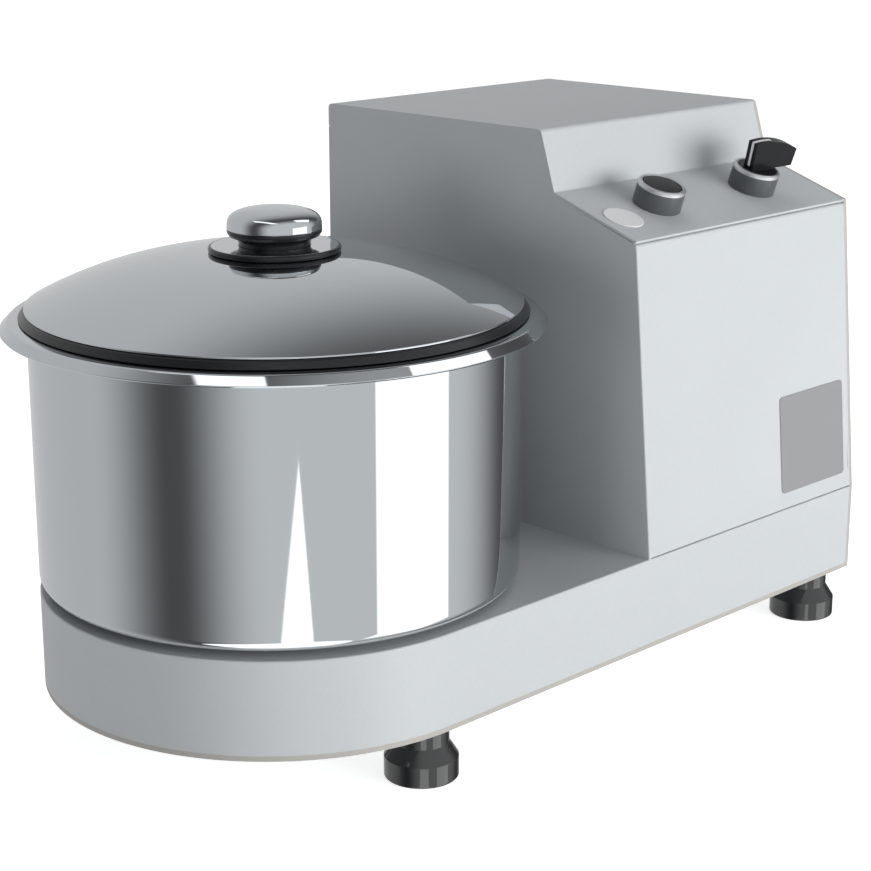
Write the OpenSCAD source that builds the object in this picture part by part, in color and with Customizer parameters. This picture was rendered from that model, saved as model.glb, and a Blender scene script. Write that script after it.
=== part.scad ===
// Bench-top vegetable chopper: a steel bowl with spinning S-shaped knives on a low base,
// beside a sheet-metal housing that holds the motor. The belt runs in the base.
// Millimetres, Z up, standing on its feet at z = 0. X runs from the bowl to the housing.

/* [Base] */
// Width of the base from front to back, and the diameter of its round end
base_w = 270; // [260:1:300]
// Height of the base from its underside to its top
base_h = 55; // [52:1:70]
// Height of the feet below the base
foot_h = 31; // [26:1:45]
// Radius of a foot at the floor
foot_r = 20.4; // [17:0.1:24]
// Radius of a foot's neck
foot_neck_r = 15.2; // [12:0.1:16]
// Height of a foot's wide round part
foot_rim_h = 12; // [9:0.5:15]
// Height of the cone between a foot's rim and its neck
foot_cone_h = 8.2; // [5:0.1:10]
// Thickness of the base plate
base_plate_t = 3; // [2:0.5:4]
// Thickness of the folded sheet
sheet_t = 1.5; // [1.2:0.1:2]
// Width of the folded lips that carry the screws
lip_w = 12; // [10:1:16]

/* [Housing] */
// Distance from the bowl's axis to the near wall of the housing
bowl_to_housing = 163.6; // [160:0.1:190]
// Width of the housing
housing_w = 206.1; // [200:0.1:240]
// Height of the housing above the base
housing_h = 240; // [236:1:270]
// Height of the front face
front_face_h = 184.2; // [178:0.1:190]
// Backward lean of the front face, degrees
front_lean = 5; // [3:0.5:7]
// Length of the sloping control panel
panel_len = 65.1; // [62:0.1:72]
// Slope of the control panel, degrees
panel_slope = 18.4; // [15:0.1:22]
// Backward lean of the step above the control panel, degrees
step_lean = 17.5; // [12:0.5:22]
// Thickness of the side plate
side_plate_t = 3; // [2:0.5:4]
// Inside radius of the folds
fold_r = 1.5; // [1:0.1:2]
// Rounding of the ground outer edges
edge_r = 1; // [0.6:0.1:1.4]
// Gap between the front face and the base
seam_gap = 0.8; // [0.5:0.1:1.5]
// Gap under the control panel's front edge
deck_gap = 0.8; // [0.5:0.1:2]
// Width of the bare plate on the front face
label_w = 66.5; // [50:0.5:80]
// Height of the bare plate on the front face
label_h = 61; // [50:0.5:80]
// Diameter of the round bare plate on the control panel
round_plate_d = 24; // [16:0.5:26]

/* [Bowl] */
// Outside radius of the bowl
bowl_r = 135; // [128:0.5:140]
// Thickness of the bowl's wall
bowl_t = 1.5; // [1.2:0.1:2]
// Height of the bowl from its underside to its rim
bowl_h = 148.8; // [130:0.1:160]
// Outside radius of the bowl's bottom corner
bowl_corner_r = 6; // [5:0.5:12]
// Reach of the rim's turned-out lip beyond the wall
rim_reach = 14.6; // [10:0.1:18]
// Downward slope of the lip's inner ring, degrees
rim_slope = 5; // [2:1:12]
// Width of the lip's sloping outer facet
lip_facet = 4.6; // [2:0.1:7]
// Downward slope of that facet, degrees
lip_slope = 45; // [30:1:60]
// Radius of the bowl's centre tube
tube_r = 31; // [30:0.5:33]
// Height of the centre tube above the bowl's underside
tube_h = 66; // [60:1:70]
// Height of the seat that the bowl stands on
seat_h = 4; // [4:0.5:5]
// Radius of that seat
seat_r = 52; // [48:0.5:56]

/* [Lid] */
// Radius of the lid
lid_r = 136; // [129:0.1:141]
// Thickness of the lid
lid_t = 1.2; // [1:0.1:1.6]
// Radius of the flat middle of the lid
lid_flat_r = 28.9; // [26:0.1:34]
// Rise of the lid's arc from its edge to the flat middle
lid_rise = 26.85; // [20:0.05:32]
// Height of the gasket that shows below the lid's edge
gasket_h = 5.7; // [4:0.1:8]
// Radius of the knob's finger guard
guard_r = 36.3; // [32:0.1:42]
// Thickness of the finger guard
guard_t = 3.4; // [3:0.1:5]
// Radius of the knob's cap
knob_r = 26; // [22:0.1:28]
// Height of the knob above its finger guard
knob_h = 21.4; // [19:0.1:26]
// Radius of the knob's waist
knob_waist_r = 19.3; // [16:0.1:20]

/* [Knives] */
// Reach of the knives from the axis
knife_reach = 128.5; // [110:0.5:129]
// Thickness of a knife
knife_t = 2.5; // [2:0.1:3]
// Width of the ground bevel on a knife's edge
knife_bevel = 5; // [3:0.5:7]
// Distance between the lower and the upper knife
knife_rise = 26.5; // [20:0.5:32]
// Wall of the knife hub
hub_wall = 3; // [2.5:0.1:4]
// Gap between the knife hub and the bowl's centre tube
hub_gap = 1.5; // [1:0.1:2]
// Gap between the knife hub and the bowl's floor
hub_lift = 1.5; // [1:0.1:3]

/* [Drive] */
// Radius of the spindle and of the motor's shaft in their bearings
shaft_r = 10; // [9:0.1:11]
// Outside radius of the ball bearings
bearing_r = 23.5; // [22:0.1:24]
// Width of the ball bearings
bearing_w = 14; // [12:0.5:15]
// Wall of the spindle's housing
spindle_housing_wall = 3.5; // [3:0.1:4]
// Height of the spindle's housing above the base
spindle_housing_h = 62; // [58:1:64]
// Width across the flats of the spindle's hexagon drive
hex_flat = 16; // [14:0.5:17]
// Pitch radius of the spindle's pulley
spindle_pulley_r = 24; // [21:0.5:30]
// Pitch radius of the motor's pulley
motor_pulley_r = 32; // [26:0.5:36]
// Width of the ribbed belt
belt_w = 14; // [10:1:16]
// Radius of the motor's end bells
motor_r = 60; // [56:1:64]
// Length of the motor's finned frame
motor_len = 96; // [90:1:110]
// Distance of the motor behind the middle of the base
motor_back = 25; // [15:1:35]

/* [Controls] */
// Radius of a control's bezel
bezel_r = 14.6; // [13.6:0.1:16]
// Height of a control's bezel
bezel_h = 14; // [12:0.5:16]
// Height of the bright ring at the top of a bezel
ring_h = 2.6; // [2:0.1:4]
// Radius of the black cap in a bezel
cap_r = 11.7; // [11:0.1:12]
// Distance of the push button from the housing's near wall
button_u = 55.3; // [45:0.1:70]
// Distance of the selector from the housing's near wall
selector_u = 147.2; // [135:0.1:160]
// Distance of both controls up the panel from its front edge
control_v = 32.5; // [29:0.1:36]
// Travel of the push button
button_travel = 3; // [2:0.5:4]
// Length of the selector's handle from its axis to its long end
handle_long = 27; // [22:0.5:30]
// Length of the selector's handle from its axis to its pointer end
handle_short = 11; // [9:0.5:11.5]
// Thickness of the selector's handle
handle_t = 7.6; // [6:0.1:9]
// Height of the selector's handle above its bezel
handle_h = 18; // [14:0.5:20]
// Turn of the handle from the panel's long direction, degrees
handle_turn = 6; // [0:1:10]

/* [Hidden] */
$fn = 96;

// Colours
steel = [0.74, 0.76, 0.77];
bright_steel = [0.83, 0.85, 0.86];
plate_grey = [0.62, 0.62, 0.60];
black = [0.10, 0.11, 0.12];
dark_grey = [0.24, 0.25, 0.26];
cast_grey = [0.52, 0.54, 0.56];
copper = [0.72, 0.45, 0.26];
rubber = [0.13, 0.14, 0.15];
bone = [0.86, 0.86, 0.84];
bare_metal = [0.66, 0.67, 0.67];

// Clearances
fit_gap = 0.05;      // a pressed or screwed piece in its hole
hole_gap = 0.25;     // a screw's shank in a plain hole
part_gap = 0.3;      // pieces that lift or turn against each other
run_gap = 0.5;       // turning pieces inside still ones
past = 1;            // how far a cut runs past a face

// Places that follow from the sizes
base_r = base_w / 2;
rim_r = bowl_r + rim_reach;
bowl_x = -(bowl_to_housing + housing_w - rim_r) / 2;
body_l = bowl_x + bowl_to_housing;
body_r = body_l + housing_w;
sheet_r = body_r - side_plate_t;
plate_top = foot_h + base_plate_t;
base_top = foot_h + base_h;
base_under = base_top - sheet_t;
body_top = base_top + housing_h;
motor_x = body_l + housing_w / 2;
motor_y = motor_back;
// Pulleys and belt
rib_pitch = 2.34;
rib_h = 1.6;
ribs = floor((belt_w - 2) / rib_pitch);
pulley_wall_h = belt_w + 4;
pulley_low_z = plate_top + 5;
// Holes of the motor's flange
motor_bolt_r = 47;
motor_hole_r = 34;
motor_opening_r = motor_bolt_r + 9;
motor_plate_w = 2 * motor_r + 50;
plate_bolt_in = 0.43 * motor_plate_w;
plate_bolt_places = [for (x = [-1, 1], y = [-1, 1]) [motor_x, motor_y] + plate_bolt_in * [x, y]];

// Outer corners of the housing in the YZ plane, from the front foot over the top to the back
p0 = [-base_r, base_top];
p1 = p0 + front_face_h * [tan(front_lean), 1];
p2 = p1 + panel_len * [cos(panel_slope), sin(panel_slope)];
p3 = [p2.x + (body_top - p2.y) * tan(step_lean), body_top];
p4 = [base_r, body_top];

// Geometry of a sheet that follows a line of corners; its thickness lies on the right
function unit(v) = v / norm(v);
function right_of(v) = [v.y, -v.x];
function toward(angle) = [cos(angle), sin(angle)];
function seg_dir(p, i) = unit(p[i + 1] - p[i]);
function mitre(a, b) = (a + b) / (1 + a * b);
function inset_point(p, i, d) =
    i == 0 ? p[0] + d * right_of(seg_dir(p, 0))
    : i == len(p) - 1 ? p[i] + d * right_of(seg_dir(p, i - 1))
    : p[i] + d * mitre(right_of(seg_dir(p, i - 1)), right_of(seg_dir(p, i)));
function reversed(p) = [for (i = [len(p) - 1 : -1 : 0]) p[i]];
// Signed distance from the outer face to a bend's centre: positive for a bend to the right
function bend_depth(p, i, t, r_in) =
    let (a = seg_dir(p, i - 1), b = seg_dir(p, i))
    (a.x * b.y - a.y * b.x) < 0 ? r_in + t : -r_in;
function bend_points(p, i, t, r_in, off) =
    let (va = right_of(seg_dir(p, i - 1)), vb = right_of(seg_dir(p, i)),
         d = bend_depth(p, i, t, r_in), c = p[i] + d * mitre(va, vb), n = 6)
    [for (k = [0 : n]) c - (d - off) * unit(va * (n - k) + vb * k)];
function sheet_side(p, t, radii, off) = [
    for (i = [0 : len(p) - 1])
        for (q = i == 0 || i == len(p) - 1 ? [inset_point(p, i, off)]
                 : bend_points(p, i, t, radii[i - 1], off)) q
];
function sheet_section(p, t, radii) =
    concat(sheet_side(p, t, radii, 0), reversed(sheet_side(p, t, radii, t)));

// The housing's section is drawn in YZ and pushed along X
module along_x(x0, x1) {
    translate([x0, 0, 0]) rotate([90, 0, 90]) linear_extrude(x1 - x0) children();
}
module at_bowl() { translate([bowl_x, 0, 0]) children(); }
module at_motor() { translate([motor_x, motor_y, 0]) children(); }
// Local frame on the control panel: x along it, y up its slope, z out of it
module on_panel(u, v) {
    translate([body_l + u, p1.x, p1.y]) rotate([panel_slope, 0, 0]) translate([0, v, 0]) children();
}
module ring(r_out, r_in, h) {
    difference() {
        cylinder(r = r_out, h = h);
        translate([0, 0, -past]) cylinder(r = r_in, h = h + 2 * past);
    }
}
module disc(r, low, high) { translate([0, 0, low]) cylinder(r = r, h = high - low); }
// Cut for a round hole through a wall that stands on z = 0
module hole(r, h) { disc(r, -past, h + past); }
module ring_of(n, r, turn = 0) {
    for (i = [0 : n - 1]) rotate([0, 0, turn + i * 360 / n]) translate([r, 0, 0]) children();
}

// Base

// Outline of the base: round at the bowl, square under the housing
module base_outline(inset, x_end) {
    translate([bowl_x, 0]) circle(r = base_r - inset);
    translate([bowl_x, -base_r + inset]) square([x_end - bowl_x, 2 * (base_r - inset)]);
}
// Half section of the base shell from the middle to its wall, with the folded lip below
module shell_section() {
    difference() {
        translate([0, plate_top]) square([base_r, base_top - plate_top]);
        translate([-past, plate_top + sheet_t])
            square([base_r - sheet_t + past, base_under - plate_top - sheet_t]);
        translate([-past, plate_top - past]) square([base_r - lip_w + past, sheet_t + 2 * past]);
        translate([base_r - edge_r, base_top - edge_r]) difference() {
            square(edge_r + past);
            circle(r = edge_r);
        }
    }
}
foot_places = [for (x = [bowl_x - 2.3, body_r - foot_r - 0.6], y = [-1, 1]) [x, y * (base_r - foot_r)]];
lip_mid = lip_w / 2 + 0.5;
plate_screw_places = concat(
    [for (a = [110 : 35 : 250]) [bowl_x, 0] + (base_r - lip_mid) * toward(a)],
    [for (x = [bowl_x + 75, body_l + 30, body_l + 120], y = [-1, 1]) [x, y * (base_r - lip_mid)]]
);

module base_shell() {
    color(steel) difference() {
        union() {
            at_bowl() rotate_extrude(angle = 180, start = 90) shell_section();
            along_x(bowl_x, sheet_r) shell_section();
            along_x(bowl_x, sheet_r) mirror([1, 0]) shell_section();
            // Lip round the open end that the side plate is screwed to
            along_x(sheet_r - sheet_t, sheet_r) difference() {
                translate([-base_r + sheet_t, plate_top + sheet_t])
                    square([base_w - 2 * sheet_t, base_under - plate_top - sheet_t]);
                translate([-base_r + lip_w, plate_top])
                    square([base_w - 2 * lip_w, base_under - plate_top - lip_w]);
            }
        }
        for (q = base_side_screws) translate([sheet_r - sheet_t, q.x, q.y]) rotate([0, 90, 0])
            hole(screw_r + fit_gap, sheet_t);
        at_bowl() translate([0, 0, base_under]) hole(spindle_housing_r + hole_gap, sheet_t);
        at_bowl() ring_of(4, seat_bolt_r, 45) translate([0, 0, base_under])
            hole(seat_screw_r + hole_gap, sheet_t);
        at_motor() translate([0, 0, base_under]) hole(motor_opening_r, sheet_t);
        for (q = plate_bolt_places) translate([q.x, q.y, base_under]) hole(bolt_r + hole_gap, sheet_t);
        for (q = plate_screw_places) translate([q.x, q.y, plate_top]) hole(screw_r + fit_gap, sheet_t);
        for (q = foot_places) translate([q.x, q.y, plate_top]) hole(foot_nut_r + 3, sheet_t);
    }
}
// Flat plate that closes the base from below, with two banks of air slots
slot_w = 5;
slot_len = 60;
slot_pitch = 12;
module base_plate() {
    color(plate_grey) translate([0, 0, foot_h]) difference() {
        linear_extrude(base_plate_t) difference() {
            base_outline(0, sheet_r);
            for (q = foot_places) translate(q) circle(r = bolt_r + hole_gap);
            for (q = plate_screw_places) translate(q) circle(r = screw_r + hole_gap);
            for (bank = [bowl_x + 60, motor_x], k = [-3 : 3]) translate([bank + k * slot_pitch, 0]) {
                square([slot_w, slot_len], center = true);
                for (s = [-1, 1]) translate([0, s * slot_len / 2]) circle(d = slot_w);
            }
        }
    }
}
// Thick plate that closes the base and the housing at the side, under the top sheet
module side_plate() {
    color(plate_grey) difference() {
        union() {
            along_x(sheet_r, body_r) intersection() {
                polygon([[-base_r, foot_h], p0, p1, p2, p3, p4, [base_r, foot_h]]);
                translate([-base_r, foot_h]) square([base_w, body_top - sheet_t - foot_h]);
            }
            // Welded strip that the rear panel is screwed to
            translate([sheet_r - lip_w, base_r - 2 * sheet_t, base_top + lip_w])
                cube([lip_w + past, sheet_t, housing_h - 3 * lip_w]);
        }
        for (q = side_screw_places) translate([body_r, q.x, q.y]) rotate([0, 90, 0]) {
            translate([0, 0, -side_plate_t]) hole(screw_r + hole_gap, side_plate_t);
            translate([0, 0, -flat_head_h])
                cylinder(r1 = screw_r + hole_gap, r2 = flat_head_r + hole_gap, h = flat_head_h + 0.01);
        }
        for (q = rear_screw_places) translate([q.x, base_r - 2 * sheet_t - past, q.y]) rotate([-90, 0, 0])
            cylinder(r = screw_r + fit_gap, h = sheet_t + past);
    }
}
flat_head_r = 3.8;
flat_head_h = 2;
side_lip_y = base_r - lip_w / 2 - sheet_t;
base_side_screws = [for (y = [-1, 1], z = [plate_top + 16, base_under - lip_w / 2]) [y * side_lip_y, z]];
front_side_screws = [for (h = [50, 130]) [p0.x + h * tan(front_lean) + lip_w / 2 + sheet_t, base_top + h]];
top_side_screws = [for (y = [p2.x + 40, base_r - 30]) [y, body_top - sheet_t - lip_w / 2]];
side_screw_places = concat(base_side_screws, front_side_screws, top_side_screws);

// Housing

// Front face and near wall, folded from one sheet, with lips for the screws and under the panel
front_dir = unit(p1 - p0);
front_top = p1 - (sheet_t + deck_gap) / cos(front_lean + panel_slope) * front_dir;
front_low = p0 + seam_gap / cos(front_lean) * front_dir;
panel_dir = [cos(panel_slope), sin(panel_slope)];
deck_line = [p1, p2, p3, p4, p4 - [0, lip_w + 2]];
deck_radii = [fold_r, fold_r, fold_r];
wall_top = sheet_side(deck_line, sheet_t, deck_radii, sheet_t);
module front_wrap() {
    front = [front_low, front_top, front_top + lip_w * panel_dir];
    color(steel) difference() {
        union() {
            along_x(body_l, sheet_r) polygon(sheet_section(front, sheet_t, [fold_r / 3]));
            along_x(body_l, body_l + sheet_t) polygon(concat(
                [p0, front_top - 2 * sheet_t * front_dir, front_top + [sheet_t, -sheet_t]],
                [wall_top[0] + [sheet_t, 0]],
                [for (i = [1 : len(wall_top) - 2]) wall_top[i]],
                [[base_r - sheet_t, base_top]]
            ));
            // Lips for the rear panel, the base and the side plate
            translate([body_l, base_r - 2 * sheet_t, base_top + lip_w])
                cube([lip_w, sheet_t, housing_h - 3 * lip_w]);
            translate([body_l, -base_r + 2 * lip_w, base_top]) cube([lip_w, base_w - 4 * lip_w, sheet_t]);
            along_x(sheet_r - sheet_t, sheet_r) polygon([
                front_low + [sheet_t / 2, lip_w], front_top + [sheet_t / 2, -lip_w],
                front_top + [lip_w + sheet_t, -lip_w], front_low + [lip_w + sheet_t, lip_w]
            ]);
        }
        // Rounded edge between the near wall and the front face
        translate([body_l, p0.x, p0.y]) rotate([-front_lean, 0, 0]) translate([0, 0, -past])
            linear_extrude(front_face_h + past) difference() {
                translate([-past, -past]) square(edge_r + past);
                translate([edge_r, edge_r]) circle(r = edge_r);
            }
        for (q = front_side_screws) translate([sheet_r - sheet_t, q.x, q.y]) rotate([0, 90, 0])
            hole(screw_r + fit_gap, sheet_t);
        for (q = rear_screw_places) translate([q.x, base_r - 2 * sheet_t - past, q.y]) rotate([-90, 0, 0])
            cylinder(r = screw_r + fit_gap, h = sheet_t + past);
    }
}
// Control panel, step, top and the lip over the rear panel, folded from one sheet
module top_deck() {
    color(steel) difference() {
        union() {
            along_x(body_l, body_r) polygon(sheet_section(deck_line, sheet_t, deck_radii));
            // Lip that the side plate is screwed to
            translate([sheet_r - sheet_t, p2.x + 30, body_top - sheet_t - lip_w])
                cube([sheet_t, base_r - p2.x - 45, lip_w + sheet_t / 2]);
        }
        translate([sheet_r, -base_r - past, base_top - past])
            cube([side_plate_t + past, base_w + 2 * past, housing_h - sheet_t + past]);
        for (q = top_side_screws) translate([sheet_r - sheet_t, q.x, q.y]) rotate([0, 90, 0])
            hole(screw_r + fit_gap, sheet_t);
        at_controls() translate([0, 0, -sheet_t]) hole(barrel_r + hole_gap, sheet_t);
    }
}
// Rear panel with rows of louvres and the hole for the cable gland
rear_bottom = base_top;
rear_top = body_top - lip_w - 2 - 0.5;
louvre_w = 70;
louvre_rows = 7;
louvre_pitch = 14;
louvre_d = 5;
louvre_places = [for (k = [0 : louvre_rows - 1]) rear_top - 40 - k * louvre_pitch];
gland_place = [body_r - 45, base_top + 36];
rear_screw_places = [
    for (x = [body_l + lip_w / 2 + 1, sheet_r - lip_w / 2])
        for (z = [rear_bottom + 2 * lip_w, (rear_bottom + rear_top) / 2, rear_top - 2 * lip_w]) [x, z]
];
module louvre_hood() {
    rotate([90, 0, 90]) translate([0, 0, -louvre_w / 2]) linear_extrude(louvre_w) difference() {
        circle(d = 2 * louvre_d);
        circle(d = 2 * (louvre_d - sheet_t));
        translate([-louvre_d - past, -2 * louvre_d]) square([louvre_d + past, 4 * louvre_d]);
        translate([-past, -louvre_d - past]) square([louvre_d + 2 * past, louvre_d + past]);
    }
}
module rear_panel() {
    color(steel) union() {
        difference() {
            translate([body_l, base_r - sheet_t, rear_bottom])
                cube([sheet_r - body_l, sheet_t, rear_top - rear_bottom]);
            for (z = louvre_places) translate([motor_x - louvre_w / 2, base_r - sheet_t - past, z])
                cube([louvre_w, sheet_t + 2 * past, louvre_d - sheet_t]);
            for (q = rear_screw_places) translate([q.x, base_r, q.y]) rotate([90, 0, 0])
                hole(screw_r + hole_gap, sheet_t);
            translate([gland_place.x, base_r, gland_place.y]) rotate([90, 0, 0])
                hole(gland_thread_r + hole_gap, sheet_t);
        }
        for (z = louvre_places) translate([motor_x, base_r, z]) louvre_hood();
    }
}
// Screws of the base plate, the side plate and the rear panel
screw_r = 2;
screw_head_r = 3.8;
screw_head_h = 2.2;
screw_len = 8;
socket_r = 1.4;
head_dome_r = 6;
module pan_screw() {
    difference() {
        union() {
            translate([0, 0, -screw_len]) cylinder(r = screw_r, h = screw_len, $fn = 24);
            intersection() {
                cylinder(r = screw_head_r, h = screw_head_h);
                translate([0, 0, screw_head_h - head_dome_r]) sphere(r = head_dome_r);
            }
        }
        translate([0, 0, 1]) cylinder(r = socket_r, h = screw_head_h, $fn = 6);
    }
}
module flat_screw() {
    difference() {
        union() {
            disc(screw_r, -screw_len, 0.5 - flat_head_h, $fn = 24);
            translate([0, 0, -flat_head_h]) cylinder(r1 = screw_r, r2 = flat_head_r, h = flat_head_h);
        }
        translate([0, 0, -1.2]) cylinder(r = socket_r, h = 2, $fn = 6);
    }
}
module cover_screws() {
    color(bright_steel) {
        for (q = plate_screw_places) translate([q.x, q.y, foot_h]) mirror([0, 0, 1]) pan_screw();
        for (q = rear_screw_places) translate([q.x, base_r, q.y]) rotate([-90, 0, 0]) pan_screw();
        for (q = side_screw_places) translate([body_r, q.x, q.y]) rotate([0, 90, 0]) flat_screw();
    }
}
// Feet: black plastic cups on studs that are nutted inside the base
bolt_r = 4;
foot_nut_r = 7.5;
foot_edge_r = 1.2;
stud_in = 11;          // how far the stud goes into a foot
stud_out = 9;          // how far it stands above the base plate
foot_nut_h = 6;
module foot() {
    rotate_extrude() difference() {
        polygon([
            [0, 0], [foot_r - foot_edge_r, 0], [foot_r, foot_edge_r], [foot_r, foot_rim_h],
            [foot_neck_r, foot_rim_h + foot_cone_h], [foot_neck_r, foot_h], [0, foot_h]
        ]);
        translate([0, foot_h - stud_in - 1]) square([bolt_r + fit_gap, stud_in + 1 + past]);
    }
}
module feet() {
    color(black) for (q = foot_places) translate([q.x, q.y, 0]) foot();
}
module foot_bolts() {
    color(bright_steel) for (q = foot_places) translate([q.x, q.y, 0]) {
        disc(bolt_r, foot_h - stud_in, plate_top + stud_out);
        translate([0, 0, plate_top]) cylinder(r = foot_nut_r, h = foot_nut_h, $fn = 6);
    }
}
// Bare plates
label_right = 9.7;
label_up = 10.6;
label_corner = 3;
plate_t = 0.5;
round_u = 18;
round_v = 26;
module label_plate() {
    color(bare_metal) translate([body_r - label_right - label_w, p0.x, p0.y])
        rotate([90 - front_lean, 0, 0]) translate([label_corner, label_up + label_corner, 0])
            linear_extrude(plate_t) {
                square([label_w - 2 * label_corner, label_h - 2 * label_corner]);
                translate([-label_corner, 0]) square([label_w, label_h - 2 * label_corner]);
                translate([0, -label_corner]) square([label_w - 2 * label_corner, label_h]);
                for (x = [0, label_w - 2 * label_corner], y = [0, label_h - 2 * label_corner])
                    translate([x, y]) circle(r = label_corner);
            }
}
module round_plate() {
    color(bright_steel) on_panel(round_u, round_v) cylinder(d = round_plate_d, h = plate_t);
}
// Cable gland: the threaded body outside and the nut inside the rear panel
gland_thread_r = 8;
gland_bore_r = 4.5;
gland_out = 13;
gland_in = 9;
gland_nut_r = 12.1;
gland_nut_h = 5;
gland_dome_r = 10;
module gland_at() { translate([gland_place.x, base_r, gland_place.y]) rotate([-90, 0, 0]) children(); }
module cable_gland() {
    color(black) gland_at() difference() {
        union() {
            disc(gland_thread_r, -sheet_t - gland_in, past);
            cylinder(r = gland_nut_r, h = gland_nut_h, $fn = 6);
            disc(gland_dome_r, gland_nut_h, gland_out - 2);
            translate([0, 0, gland_out - 2]) cylinder(r1 = gland_dome_r, r2 = gland_thread_r, h = 2);
        }
        disc(gland_bore_r, -sheet_t - gland_in - past, gland_out + past);
    }
}
module gland_nut() {
    color(black) gland_at() translate([0, 0, -sheet_t - gland_nut_h]) difference() {
        cylinder(r = gland_nut_r, h = gland_nut_h, $fn = 6);
        hole(gland_thread_r + fit_gap, gland_nut_h);
    }
}

// Spindle, its housing and the seat of the bowl

spindle_housing_r = bearing_r + spindle_housing_wall;
housing_low = pulley_low_z + pulley_wall_h + 2.5;
housing_high = base_top + spindle_housing_h;
seat_screw_r = 2.5;
seat_head_r = 5;
seat_head_h = 2.5;
seat_bolt_r = 42;
flange_t = 7;
pin_out = 4.5;
bearing_low_z = housing_low + 3;
bearing_high_z = housing_high - 8 - bearing_w;
seal_z = bearing_high_z + bearing_w + 1;
seal_h = 6;
// Seat ring with three short pins that stop the bowl from turning
module bowl_seat() {
    color(bright_steel) at_bowl() translate([0, 0, base_top]) {
        difference() {
            cylinder(r = seat_r, h = seat_h);
            hole(spindle_housing_r + hole_gap, seat_h);
            ring_of(4, seat_bolt_r, 45) {
                hole(seat_screw_r + hole_gap, seat_h);
                translate([0, 0, seat_h - seat_head_h - 0.2])
                    cylinder(r1 = seat_screw_r + hole_gap, r2 = seat_head_r + 0.5, h = seat_head_h + 0.21);
            }
        }
        ring_of(3, seat_r) translate([0, 0, seat_h / 2]) rotate([0, 90, 0])
            disc(seat_h / 2 - 0.5, -4, pin_out);
    }
}
module seat_screws() {
    color(bright_steel) at_bowl() ring_of(4, seat_bolt_r, 45) translate([0, 0, seat_top - 0.2]) difference() {
        union() {
            translate([0, 0, -seat_head_h]) cylinder(r1 = seat_screw_r, r2 = seat_head_r, h = seat_head_h);
            disc(seat_screw_r, -seat_h - sheet_t - flange_t, -2);
        }
        translate([0, 0, -1.8]) cylinder(r = 1.7, h = 2.8, $fn = 6);
    }
}
// Cast housing: a tube through the base with a flange and ribs below the top sheet
module spindle_housing() {
    color(cast_grey) at_bowl() difference() {
        union() {
            translate([0, 0, housing_low]) cylinder(r = spindle_housing_r, h = housing_high - housing_low);
            translate([0, 0, base_under - flange_t]) cylinder(r = seat_r, h = flange_t);
            // Gussets between the tube and the flange
            ring_of(4, 0) translate([0, 2, 0]) rotate([90, 0, 0]) linear_extrude(4) polygon([
                [spindle_housing_r - 1, housing_low + 3], [spindle_housing_r + 2, housing_low + 3],
                [seat_r - 3, base_under - flange_t], [seat_r - 3, base_under - 2],
                [spindle_housing_r - 1, base_under - 2]
            ]);
        }
        disc(shaft_r + 3, housing_low - past, housing_high + past);
        disc(bearing_r + fit_gap, housing_low - past, bearing_low_z + bearing_w);
        disc(bearing_r + fit_gap, bearing_high_z, housing_high + past);
        disc(bearing_r - 4, bearing_low_z + bearing_w + 6, bearing_high_z - 6);
        ring_of(4, seat_bolt_r, 45) translate([0, 0, base_under - flange_t])
            hole(seat_screw_r + fit_gap, flange_t);
    }
}
// Deep-groove ball bearings: outer rings in the housings, inner rings on the shafts
ball_r = 3.6;
ball_path_r = (bearing_r + shaft_r) / 2;
race_wall = 4;
groove_r = ball_r + 0.25;
module outer_ring() {
    rotate_extrude() difference() {
        translate([bearing_r - race_wall, 0]) square([race_wall, bearing_w]);
        translate([ball_path_r, bearing_w / 2]) circle(r = groove_r);
    }
}
module inner_ring() {
    rotate_extrude() difference() {
        translate([shaft_r + fit_gap, 0]) square([race_wall, bearing_w]);
        translate([ball_path_r, bearing_w / 2]) circle(r = groove_r);
    }
}
module at_bearings() {
    at_bowl() for (z = [bearing_low_z, bearing_high_z]) translate([0, 0, z]) children();
    at_motor() for (z = [motor_bearing_low_z, motor_bearing_high_z]) translate([0, 0, z]) children();
}
module bearing_outer_rings() { color(bright_steel) at_bearings() outer_ring(); }
module bearing_balls() {
    color(bright_steel) at_bearings() ring_of(9, ball_path_r) translate([0, 0, bearing_w / 2])
        sphere(r = ball_r, $fn = 24);
}
module shaft_seal() {
    color(rubber) at_bowl() translate([0, 0, seal_z]) rotate_extrude() difference() {
        translate([shaft_r + 0.06, 0]) square([bearing_r - shaft_r - 0.06, seal_h]);
        translate([shaft_r + 2, 2]) square([bearing_r - shaft_r - 4, seal_h]);
    }
}
// Spindle with a hexagon at its top that drives the knife hub
hex_z = housing_high + 4;
hex_h = 26;
module spindle() {
    color(bright_steel) at_bowl() union() {
        disc(shaft_r, pulley_low_z - 1, hex_z);
        translate([0, 0, hex_z]) cylinder(r = hex_flat / 2 / cos(30), h = hex_h - 2, $fn = 6);
        translate([0, 0, hex_z + hex_h - 2]) cylinder(r1 = hex_flat / 2, r2 = hex_flat / 2 - 2, h = 2);
    }
}
module spindle_inner_rings() {
    color(bright_steel) for (z = [bearing_low_z, bearing_high_z]) translate([bowl_x, 0, z]) inner_ring();
}
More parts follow.
